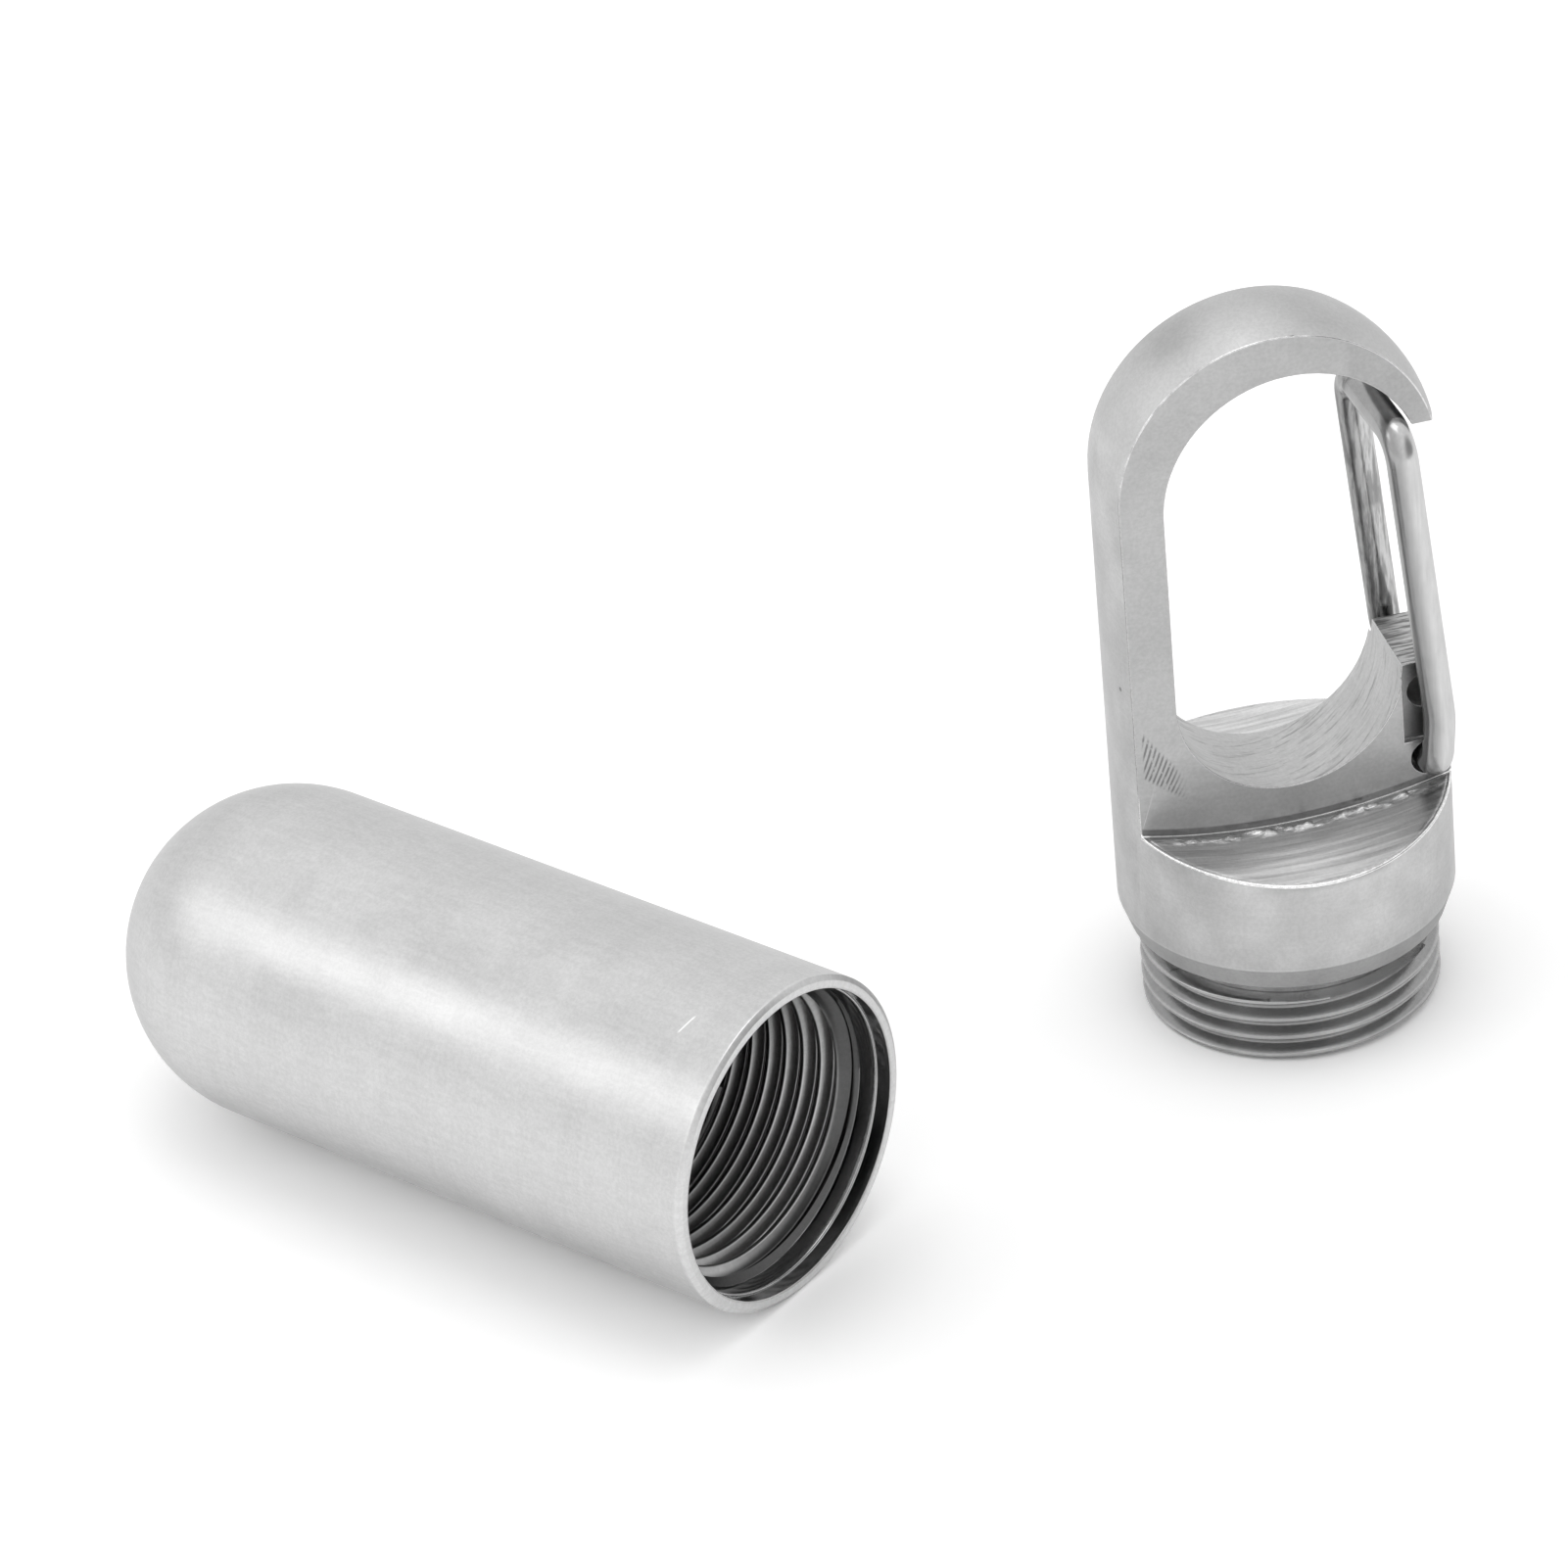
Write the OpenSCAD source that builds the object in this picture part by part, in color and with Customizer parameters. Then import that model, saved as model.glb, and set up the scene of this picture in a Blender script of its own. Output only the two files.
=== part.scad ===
/* [Case] */
// Outer diameter of the tube and of the hanger head
case_d = 16; // [15.5:0.5:20]

/* [Tube] */
// Length of the straight wall, from the mouth to the centre of the dome
tube_len = 29.5; // [20:0.5:60]
// Step from the crests of the inside thread down to the hollow for the pills
bore_step = 0.2; // [0.1:0.05:1.5]
// Wall left at the lip of the mouth
lip_wall = 0.65; // [0.4:0.05:0.8]
// Depth of the smooth seat just inside the lip
seat_depth = 0.8; // [0.4:0.1:2]
// Step from the seat down to the relief behind it
seat_step = 0.1; // [0.05:0.01:0.3]
// Depth of the smooth relief between the seat and the thread
relief_depth = 0.9; // [0.5:0.1:2]
// How far the relief is cut back beyond the bottom of the thread
relief_cut = 0.08; // [0.04:0.01:0.12]
// Length of the thread inside the tube
socket_thread_len = 7.2; // [4:0.2:10]
// Chamfer on the outer edge of the lip
lip_chamfer = 0.2; // [0.1:0.05:0.3]

/* [Thread] */
// Distance from one turn to the next
thread_pitch = 1; // [0.8:0.1:1.2]
// Height of the thread, from root to crest
thread_h = 0.55; // [0.4:0.05:0.6]
// Flat left on the crest of each turn
thread_flat = 0.14; // [0.1:0.01:0.2]
// Radial clearance between the two threads
thread_gap = 0.06; // [0.02:0.01:0.1]
// Length of the thread on the head
stub_thread_len = 3.4; // [3:0.1:5]
// Height at which the thread starts, from the end of the stub
thread_lead = 0; // [0:0.1:0.5]
// Length of the plain neck between the thread and the shoulder
neck_len = 1.1; // [0.8:0.1:2]
// Step from the bottom of the thread down to the plain neck
neck_step = 0.25; // [0.1:0.05:0.5]

/* [Head] */
// Length of the round body, from the shoulder to the centre of the dome
head_len = 24.2; // [22:0.1:32]
// Width of the bevel above the shoulder
bevel_w = 0.45; // [0.2:0.05:0.6]
// Height of the bevel above the shoulder
bevel_h = 1.3; // [0.5:0.1:2]
// Thickness of the flat hanger plate
plate_t = 5; // [4:0.1:6]
// Height of the milled shelves above the shoulder, at their lowest
shelf_rise = 5.9; // [4:0.1:7]
// Radius of the disc cutter that left the shelves
cutter_r = 31; // [20:1:60]

/* [Window] */
// Width of the spine beside the window, to the outside of the case
spine_w = 2.5; // [2.4:0.1:3]
// Height of the floor above the shelves
floor_rise = 2; // [1:0.1:4]
// Thickness of the crown above the window
crown_t = 2.5; // [2:0.1:4]
// How much larger the radius of the window's top is than that of its floor
hook_widen = 0.7; // [0.4:0.1:0.8]
// Height of the lug that carries the gate, above the shelves
lug_rise = 7.1; // [6.5:0.1:8]
// Distance of the nose of the hook below the top of the dome
nose_drop = 6.3; // [5.5:0.1:7]

/* [Gate] */
// Diameter of the gate's wire
wire_d = 1.5; // [1.2:0.1:1.6]
// Diameter of the two holes for the wire's ends
hole_d = 1.8; // [1.7:0.05:1.9]
// Distance of the upper hole from the outer edge of the case
hole_inset = 1.4; // [1.35:0.05:1.6]
// Height of the upper hole above the shelves
hole_rise = 5.5; // [5:0.1:5.5]
// Distance of the lower hole below the upper one, along the gate
hole_step = 3.5; // [3.2:0.1:3.6]
// Distance of the longer leg's knee below the upper hole, along the gate
knee_drop = 0.4; // [0.2:0.1:1]
// Turn of the longer leg below its knee
knee_turn = 10; // [6:1:12]
// Radius of the knee, on the centre line
knee_r = 6; // [4:0.5:8]
// Length of wire that sits in each hole
tip_bite = 0.9; // [0.6:0.1:1.2]
// Radius of the wire's two top bends, on the centre line
bend_r = 1.3; // [1:0.1:1.6]
// Radius of the wire's two elbows at the holes, on the centre line
elbow_r = 0.9; // [0.8:0.05:1.2]
// Clearance between the wire's legs and the plate
leg_gap = 0.15; // [0.15:0.01:0.3]
// Clearance between the closed gate and the hook
gate_gap = 0.2; // [0.1:0.05:0.4]
// Turn of the gate about the upright, as its sprung wire sits
gate_yaw = 2; // [0:0.5:3]
// Depth of the pocket on each face of the lug
pocket_depth = 0.3; // [0.1:0.05:0.5]
// Height of the pocket's lower end above the shelves
pocket_rise = 3; // [0:0.1:3]
// Width of the pocket, from the outside of the case
pocket_w = 2.6; // [2.4:0.1:3]

/* [Layout] */
// Turn of the lying tube from the plane of the hanger plate
tube_turn = -52.5; // [-80:0.5:-20]
// Distance of the tube's mouth from the head, along the plate
mouth_back = 28.2; // [22:0.2:60]
// Distance of the tube's mouth from the head, across the plate
mouth_side = 15.7; // [4:0.2:40]

/* [Hidden] */

steel = [0.78, 0.78, 0.78];
wire_steel = [0.86, 0.86, 0.87];
eps = 0.01;
$fn = 96;

case_r = case_d / 2;
wire_r = wire_d / 2;
hole_r = hole_d / 2;

// Radii from the lip inwards: seat, relief, inside thread, head's thread, bore and neck
seat_r = case_r - lip_wall;
relief_r = seat_r - seat_step;
socket_root_r = relief_r - relief_cut;
socket_crest_r = socket_root_r - thread_h;
crest_r = socket_root_r - thread_gap;
root_r = crest_r - thread_h;
bore_r = socket_crest_r - bore_step;
neck_r = root_r - neck_step;

// Thread: steps in each turn, steps over which it rises to its height, and its profile
turn_steps = 36;
rise_steps = 12;
flank_w = thread_h * tan(30);
root_w = thread_pitch - thread_flat - 2 * flank_w;

// Heights on the head, measured from the end of its stub
shoulder_z = stub_thread_len + neck_len;
dome_z = shoulder_z + head_len;
top_z = dome_z + case_r;
floor_r = case_r - spine_w;
hook_r = floor_r + hook_widen;
shelf_z = shoulder_z + shelf_rise;
floor_z = shelf_z + floor_rise + floor_r;
lug_z = shelf_z + lug_rise;
nose_z = top_z - nose_drop;
window_top_z = top_z - crown_t;
hook_x = hook_r - floor_r;
hook_z = window_top_z - hook_r;

// Gate: a wire bow in one plane, leaned from the upper hole to the hook. Its frame has s along
// the bar and t along the legs, both from the upper hole's height
pocket_y = plate_t / 2 - pocket_depth;
pocket_z = shelf_z + pocket_rise;
tip_s = pocket_y - tip_bite;
pivot_s = (tip_s + plate_t / 2) / 2;
leg_s = plate_t / 2 + leg_gap + wire_r;
upper_z = shelf_z + hole_rise;
upper_x = case_r - hole_inset;
bow_x = upper_x + pivot_s * sin(gate_yaw);
bar_z = nose_z;
bar_reach = hook_r - wire_r - gate_gap;
bar_x = hook_x + sqrt(pow(bar_reach, 2) - pow(bar_z - hook_z, 2));
gate_lean = atan((bow_x - bar_x) / (bar_z - upper_z));
bow_h = (bar_z - upper_z) / cos(gate_lean);

// Longer leg: from its knee down to the lower hole
knee_low = (hole_step - knee_drop - knee_r * sin(knee_turn)) / cos(knee_turn);
knee_in = knee_r * (1 - cos(knee_turn)) + knee_low * sin(knee_turn);
lower_x = bow_x + (hole_step * sin(gate_lean) - knee_in * cos(gate_lean)) * cos(gate_yaw)
    + pivot_s * sin(gate_yaw);
lower_z = upper_z - hole_step * cos(gate_lean) - knee_in * sin(gate_lean);

// Share of the thread's height that is there at a step along its helix
function risen(i, first) = min(1, max(0, (i - first) / rise_steps));

// One point of the helix at a step, at a radius and a height above its lower edge
function on_helix(i, r, z) = [
    r * cos(i * 360 / turn_steps),
    r * sin(i * 360 / turn_steps),
    z + i * thread_pitch / turn_steps
];

// Two triangles between the places a and b on one section and c and d on the next
function quad(a, b, c, d) = [[a, b, d], [a, d, c]];

// Threaded rod whose single right-hand turn starts at height 0 and winds up. Up to the step
// named first it has no thread, and then the thread rises to its full height
module threaded_rod(r_low, r_high, turns, first) {
    count = ceil(turns * turn_steps);
    ends = count + turn_steps;
    edge = [for (i = [0 : ends]) on_helix(i, r_low, 0)];
    ridge = [
        for (i = [0 : count])
            let (r = r_low + (r_high - r_low) * risen(i, first))
            each [
                on_helix(i, r_low, root_w),
                on_helix(i, r, root_w + flank_w),
                on_helix(i, r, root_w + flank_w + thread_flat)
            ]
    ];
    axis = [[0, 0, 0], [0, 0, ends * thread_pitch / turn_steps]];
    k = ends + 1;
    low = k + 3 * (count + 1);
    top = low + 1;
    sides = [
        for (i = [0 : count - 1])
            let (a = k + 3 * i, b = a + 3)
            each concat(
                quad(i, a, i + 1, b),
                quad(a, a + 1, b, b + 1),
                quad(a + 1, a + 2, b + 1, b + 2),
                quad(a + 2, i + turn_steps, b + 2, i + turn_steps + 1)
            )
    ];
    first_cap = [for (i = [0 : turn_steps - 1]) [low, i, i + 1]];
    last_cap = [for (i = [count : ends - 1]) [top, i + 1, i]];
    m = k + 3 * count;
    first_end = [[low, turn_steps, k + 2], [low, k + 2, k + 1], [low, k + 1, k], [low, k, 0]];
    last_end = [[top, count, m], [top, m, m + 1], [top, m + 1, m + 2], [top, m + 2, ends]];
    polyhedron(
        points = concat(edge, ridge, axis),
        faces = concat(sides, first_cap, last_cap, first_end, last_end)
    );
}

// Length of threaded rod between two heights, cut off square at both ends
module thread_between(r_low, r_high, z_lo, z_hi, lead) {
    turns = (z_hi - z_lo) / thread_pitch + 2;
    first = (1 + lead / thread_pitch) * turn_steps;
    intersection() {
        translate([0, 0, z_lo - thread_pitch]) threaded_rod(r_low, r_high, turns, first);
        translate([0, 0, z_lo]) cylinder(r = case_r, h = z_hi - z_lo);
    }
}

// Round bar along the y axis, from y_lo to y_hi
module bar_y(x, z, r, y_lo, y_hi) {
    translate([x, y_lo, z]) rotate([-90, 0, 0]) cylinder(r = r, h = y_hi - y_lo);
}

// Everything that is drilled, bored and threaded out of the tube
module tube_hollow() {
    thread_hi = -seat_depth - relief_depth;
    thread_lo = thread_hi - socket_thread_len;
    translate([0, 0, -tube_len]) cylinder(r = bore_r, h = tube_len + eps);
    translate([0, 0, -tube_len]) sphere(r = bore_r);
    thread_between(socket_crest_r, socket_root_r, thread_lo, thread_hi + eps, 0);
    translate([0, 0, thread_hi]) cylinder(r = relief_r, h = -thread_hi + eps);
    translate([0, 0, -seat_depth]) cylinder(r = seat_r, h = seat_depth + eps);
}

// Tube: straight wall and closed dome, standing mouth up before it is laid down
module tube_blank() {
    rotate_extrude()
        polygon([
            [0, -tube_len],
            [case_r, -tube_len],
            [case_r, -lip_chamfer],
            [case_r - lip_chamfer, 0],
            [0, 0]
        ]);
    translate([0, 0, -tube_len]) sphere(r = case_r);
}

module capsule_tube() {
    color(steel)
    translate([-mouth_back, -mouth_side, case_r])
        rotate([0, 0, tube_turn])
        rotate([0, 90, 0])
        difference() {
            tube_blank();
            tube_hollow();
        }
}

// Turned body of the head: threaded stub, neck, bevel, round body and dome
module head_blank() {
    thread_between(root_r, crest_r, 0, stub_thread_len, thread_lead);
    rotate_extrude()
        polygon([
            [0, stub_thread_len - eps],
            [neck_r, stub_thread_len - eps],
            [neck_r, shoulder_z],
            [case_r - bevel_w, shoulder_z],
            [case_r, shoulder_z + bevel_h],
            [case_r, dome_z],
            [0, dome_z]
        ]);
    translate([0, 0, dome_z]) sphere(r = case_r);
}

// Outline of the window in the plate: round floor, straight spine, round top
module window_outline() {
    translate([0, floor_z]) circle(r = floor_r);
    translate([hook_x, hook_z]) circle(r = hook_r);
    translate([-floor_r, floor_z]) square([2 * floor_r, hook_z - floor_z]);
}

// Gap in the hook side, from the lug up to the nose
module gate_gap_outline() {
    translate([0, lug_z]) square([case_d, nose_z - lug_z]);
}

// Flats and shelves that the disc cutter leaves on one side of the plate
module flat_cut() {
    bar_y(0, shelf_z + cutter_r, cutter_r, plate_t / 2, case_d);
}

// Shallow pocket for the gate's leg on one face of the lug
module pocket_cut() {
    translate([case_r - pocket_w, pocket_y, pocket_z]) cube([case_d, case_d, lug_z - pocket_z + eps]);
}

module carabiner_head() {
    color(steel)
        difference() {
            head_blank();
            flat_cut();
            mirror([0, 1, 0]) flat_cut();
            translate([0, case_d, 0]) rotate([90, 0, 0]) linear_extrude(2 * case_d) {
                window_outline();
                gate_gap_outline();
            }
            pocket_cut();
            mirror([0, 1, 0]) pocket_cut();
            bar_y(upper_x, upper_z, hole_r, -case_d, case_d);
            bar_y(lower_x, lower_z, hole_r, -case_d, case_d);
        }
}

// Quarter bend of the wire with its centre at s and t in the bow's plane
module wire_bend(s, t, radius, from) {
    translate([0, s, t]) rotate([90, 0, 90]) rotate([0, 0, from])
        rotate_extrude(angle = 90) translate([radius, 0]) circle(r = wire_r);
}

// End of a leg on the positive side: tip in its hole, elbow, and straight run of a length
module wire_foot(run) {
    bar_y(0, -run, wire_r, tip_s, leg_s - elbow_r);
    wire_bend(leg_s - elbow_r, elbow_r - run, elbow_r, -90);
    translate([0, leg_s, elbow_r - run]) cylinder(r = wire_r, h = run - elbow_r);
}

// Upper part of a leg on the positive side: straight run, top bend and half of the bar
module wire_half_bow(from_t) {
    translate([0, leg_s, from_t]) cylinder(r = wire_r, h = bow_h - bend_r - from_t);
    wire_bend(leg_s - bend_r, bow_h - bend_r, bend_r, 0);
    bar_y(0, bow_h, wire_r, 0, leg_s - bend_r);
}

// Shorter leg, straight from the bar to the elbow at the upper hole
module short_leg() {
    wire_half_bow(elbow_r);
    bar_y(0, 0, wire_r, tip_s, leg_s - elbow_r);
    wire_bend(leg_s - elbow_r, elbow_r, elbow_r, -90);
}

// Longer leg, bent inwards at its knee and ending at the lower hole
module long_leg() {
    wire_half_bow(-knee_drop);
    translate([-knee_r, 0, -knee_drop]) {
        translate([0, leg_s, 0]) rotate([-90, 0, 0])
            rotate_extrude(angle = knee_turn) translate([knee_r, 0]) circle(r = wire_r);
        rotate([0, knee_turn, 0]) translate([knee_r, 0, 0]) wire_foot(knee_low);
    }
}

module wire_gate() {
    color(wire_steel)
        translate([bow_x, 0, upper_z])
        rotate([0, 0, gate_yaw])
        rotate([0, -gate_lean, 0]) {
            short_leg();
            mirror([0, 1, 0]) long_leg();
        }
}

capsule_tube();
carabiner_head();
wire_gate();
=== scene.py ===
import math

import bmesh
import bpy
from mathutils import Matrix, Vector, noise
from mathutils.bvhtree import BVHTree
from mathutils.geometry import barycentric_transform


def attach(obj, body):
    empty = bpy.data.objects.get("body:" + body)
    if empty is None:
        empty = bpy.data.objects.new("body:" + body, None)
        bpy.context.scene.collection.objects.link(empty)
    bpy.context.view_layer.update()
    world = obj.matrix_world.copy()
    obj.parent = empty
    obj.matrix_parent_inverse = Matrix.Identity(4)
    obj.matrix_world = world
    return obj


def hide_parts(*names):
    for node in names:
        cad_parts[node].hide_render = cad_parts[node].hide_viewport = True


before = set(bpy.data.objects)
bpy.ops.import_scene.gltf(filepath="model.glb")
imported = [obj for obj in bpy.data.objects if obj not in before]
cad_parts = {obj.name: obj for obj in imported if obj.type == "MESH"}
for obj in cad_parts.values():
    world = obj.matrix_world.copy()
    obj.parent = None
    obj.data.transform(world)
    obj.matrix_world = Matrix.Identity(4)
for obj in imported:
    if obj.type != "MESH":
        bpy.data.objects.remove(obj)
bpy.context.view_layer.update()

MM = 0.001
scene = bpy.context.scene

# All sizes are in millimetres, as the solids have them.
CASE_R = 8.0
PITCH, CREST_FLAT, FLANK_ANGLE = 1.0, 0.14, 30
# tube: radii from the mouth inwards, and places along its axis, 0 at the mouth
TUBE_LEN = 29.5
SEAT_R, RELIEF_R, ROOT_R, CREST_R, BORE_R = 7.35, 7.25, 7.17, 6.62, 6.42
SEAT_A, RELIEF_A, THREAD_A = -0.8, -1.7, -8.9
# tube: the middle of its mouth, its axis out of the mouth, and its side
TURN = math.radians(-52.5)
MOUTH = Vector((-28.2, -15.7, 8.0))
AXIS = Vector((math.cos(TURN), math.sin(TURN), 0.0))
SIDE = Vector((-math.sin(TURN), math.cos(TURN), 0.0))
# head: threaded stub, neck and shoulder
STUB_ROOT, STUB_CREST, NECK_R = 6.56, 7.11, 6.31
STUB_LEN, SHOULDER_Z, BEVEL_Z = 3.4, 4.5, 5.8
# head: half the plate, lowest line of the shelves, top of the lug, centre of the crown
PLATE_Y, SHELF_Z, LUG_Z, CROWN_Z = 2.5, 10.4, 17.5, 28.7
# head: lowest line of the window, and the centre of its round foot
WINDOW_LOW_Z, WINDOW_Z = 12.4, 17.9
# head: radius of the disc cutter that left the shelves, and the height of its axis
CUTTER_R = 31.0
CUTTER_Z = SHELF_Z + CUTTER_R

AROUND = 192             # points in one turn of a lathed surface
POLE_R = 0.0005          # radius of the small ring that stands in for a point on the axis


# ---------------------------------------------------------------- mesh helpers
def new_object(name, verts, faces):
    """Smooth-shaded object from points in millimetres."""
    me = bpy.data.meshes.new(name)
    me.from_pydata([tuple(Vector(v) * MM) for v in verts], [], faces)
    me.validate()
    for p in me.polygons:
        p.use_smooth = True
    ob = bpy.data.objects.new(name, me)
    scene.collection.objects.link(ob)
    return ob


def joined(*parts):
    verts, faces = [], []
    for v, f in parts:
        n = len(verts)
        verts += v
        faces += [tuple(i + n for i in face) for face in f]
    return verts, faces


def welded(ob, sharp):
    """Merge the seams, point the faces outwards and keep only real edges sharp."""
    bm = bmesh.new()
    bm.from_mesh(ob.data)
    bmesh.ops.remove_doubles(bm, verts=bm.verts, dist=2e-6)
    bmesh.ops.dissolve_degenerate(bm, edges=bm.edges, dist=1e-6)
    bmesh.ops.recalc_face_normals(bm, faces=bm.faces)
    bm.to_mesh(ob.data)
    bm.free()
    for p in ob.data.polygons:
        p.use_smooth = True
    ob.data.set_sharp_from_angle(angle=math.radians(sharp))
    return ob


def fixed(r, z):
    """Lathe row of one radius and height."""
    return lambda a: (r, z)


def arc_rows(cr, cz, radius, a0, a1, steps):
    """Lathe rows along an arc about (cr, cz), from a0 to a1 degrees."""
    out = []
    for i in range(steps + 1):
        t = math.radians(a0 + (a1 - a0) * i / steps)
        out.append(fixed(max(cr + radius * math.cos(t), POLE_R), cz + radius * math.sin(t)))
    return out


def lathe(rows):
    """Surface around the z axis. Each row is a function of the angle giving (r, z)."""
    verts, faces = [], []
    for row in rows:
        for j in range(AROUND):
            a = 2 * math.pi * j / AROUND
            r, z = row(a)
            verts.append((r * math.cos(a), r * math.sin(a), z))
    for k in range(len(rows) - 1):
        for j in range(AROUND):
            a, b = k * AROUND + j, k * AROUND + (j + 1) % AROUND
            faces.append((a, b, b + AROUND, a + AROUND))
    return verts, faces


def thread_profile():
    """One pitch of thread as (height, share of its depth), with small rounds at the corners."""
    round_w, taps = 0.035, 5
    flank = (STUB_CREST - STUB_ROOT) * math.tan(math.radians(FLANK_ANGLE))
    root = PITCH - CREST_FLAT - 2 * flank
    corners = (0.0, root, root + flank, root + flank + CREST_FLAT)

    def sharp(u):
        u %= PITCH
        if u < corners[1]:
            return 0.0
        if u < corners[2]:
            return (u - corners[1]) / flank
        return 1.0 if u < corners[3] else 1.0 - (u - corners[3]) / flank

    def soft(u):
        return sum(sharp(u + round_w * i / taps) for i in range(-taps, taps + 1)) / (2 * taps + 1)

    spots = [c + off for c in corners for off in (-0.036, -0.014, 0.014, 0.036)]
    spots += [corners[0] + root / 2, corners[1] + flank / 2, corners[3] + flank / 2]
    return sorted((u % PITCH, soft(u)) for u in spots)


def helix(r_low, r_high, z_lo, z_hi, ring_lo, ring_hi, most=None, least=None):
    """Thread surface whose rows follow the helix, cut square at both ends.

    ring_lo and ring_hi are the radii it ends in. most and least limit the
    radius by height, which makes the chamfers."""
    near = 0.004
    profile = thread_profile()
    turns = int((z_hi - z_lo) / PITCH) + 3
    columns = AROUND + 1
    verts, faces = [], []
    for t in range(turns):
        for u, share in profile:
            for j in range(columns):
                a = 2 * math.pi * j / AROUND
                z = z_lo + (t - 2 + j / AROUND) * PITCH + u
                r = r_low + (r_high - r_low) * share
                if most is not None:
                    r = min(r, most(z))
                if least is not None:
                    r = max(r, least(z))
                if z <= z_lo + near:
                    r, z = ring_lo, z_lo
                elif z >= z_hi - near:
                    r, z = ring_hi, z_hi
                verts.append((r * math.cos(a), r * math.sin(a), z))
    for k in range(turns * len(profile) - 1):
        for j in range(AROUND):
            a = k * columns + j
            faces.append((a, a + 1, a + 1 + columns, a + columns))
    return verts, faces


# ---------------------------------------------------------------- tube
def build_tube():
    """Outer skin, lip, seat, relief, inner thread and bore as one closed mesh."""
    lead_slope = 0.75    # of the cone that leads into the inner thread
    bore_step = 1.5
    outside = arc_rows(0, -TUBE_LEN, CASE_R, -90, 0, 30)
    outside += [fixed(CASE_R, i - TUBE_LEN) for i in range(1, 30)] + [fixed(CASE_R, -0.24)]
    # outer edge break, lip and inner edge break, each with small rounds
    outside += arc_rows(CASE_R - 0.10, -0.21, 0.10, 0, 45, 3)
    outside += arc_rows(CASE_R - 0.27, -0.06, 0.06, 45, 90, 3)
    outside += arc_rows(SEAT_R + 0.07, -0.07, 0.07, 90, 180, 5)
    # seat and relief
    outside += [fixed(SEAT_R, -0.3), fixed(SEAT_R, SEAT_A + 0.06)]
    outside += arc_rows(SEAT_R - 0.05, SEAT_A + 0.05, 0.05, 0, -90, 3)
    outside += [fixed(RELIEF_R + 0.02, SEAT_A), fixed(RELIEF_R, SEAT_A - 0.03)]
    outside += [fixed(RELIEF_R, RELIEF_A + 0.05), fixed(RELIEF_R, RELIEF_A)]
    thread = helix(
        CREST_R, ROOT_R, THREAD_A, RELIEF_A, BORE_R, RELIEF_R,
        least=lambda z: RELIEF_R - lead_slope * (RELIEF_A - z),
    )
    bore = [fixed(BORE_R, THREAD_A - bore_step * i) for i in range(14)]
    bore += arc_rows(0, -TUBE_LEN, BORE_R, 0, -90, 16)
    verts, faces = joined(lathe(outside), thread, lathe(bore))
    # as the solid: local z along the tube, local x downwards
    placed = [MOUTH + AXIS * z + SIDE * y - Vector((0, 0, x)) for x, y, z in verts]
    return welded(new_object("tube_body", placed, faces), 38)


# ---------------------------------------------------------------- head
EDGE_STRIP = 1           # material index of the strips that break the edges


def cad_surface(cad):
    """A solid's triangles: their points, corner normals and a tree to find them in."""
    corners = []
    for p in cad.polygons:
        li = list(p.loop_indices)
        for i in range(1, len(li) - 1):
            corners += [li[0], li[i], li[i + 1]]
    points = [cad.vertices[cad.loops[i].vertex_index].co.copy() for i in corners]
    normals = [cad.corner_normals[i].vector.copy() for i in corners]
    tree = BVHTree.FromPolygons(points, [(i, i + 1, i + 2) for i in range(0, len(corners), 3)])
    return points, normals, tree


def surface_normal(surface, co, facing):
    """The solid's own normal at a point, or None where no near face of it looks that way."""
    reach, same_side = 0.00008, 0.93
    points, normals, tree = surface
    best = None
    for hit, hit_normal, index, dist in tree.find_nearest_range(co, reach):
        if hit_normal.dot(facing) > same_side and (best is None or dist < best[2]):
            best = (hit, 3 * index, dist)
    if best is None:
        return None
    hit, i, _ = best
    n = barycentric_transform(hit, *points[i:i + 3], *normals[i:i + 3])
    return n.normalized() if n.length > 0.1 else None


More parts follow.
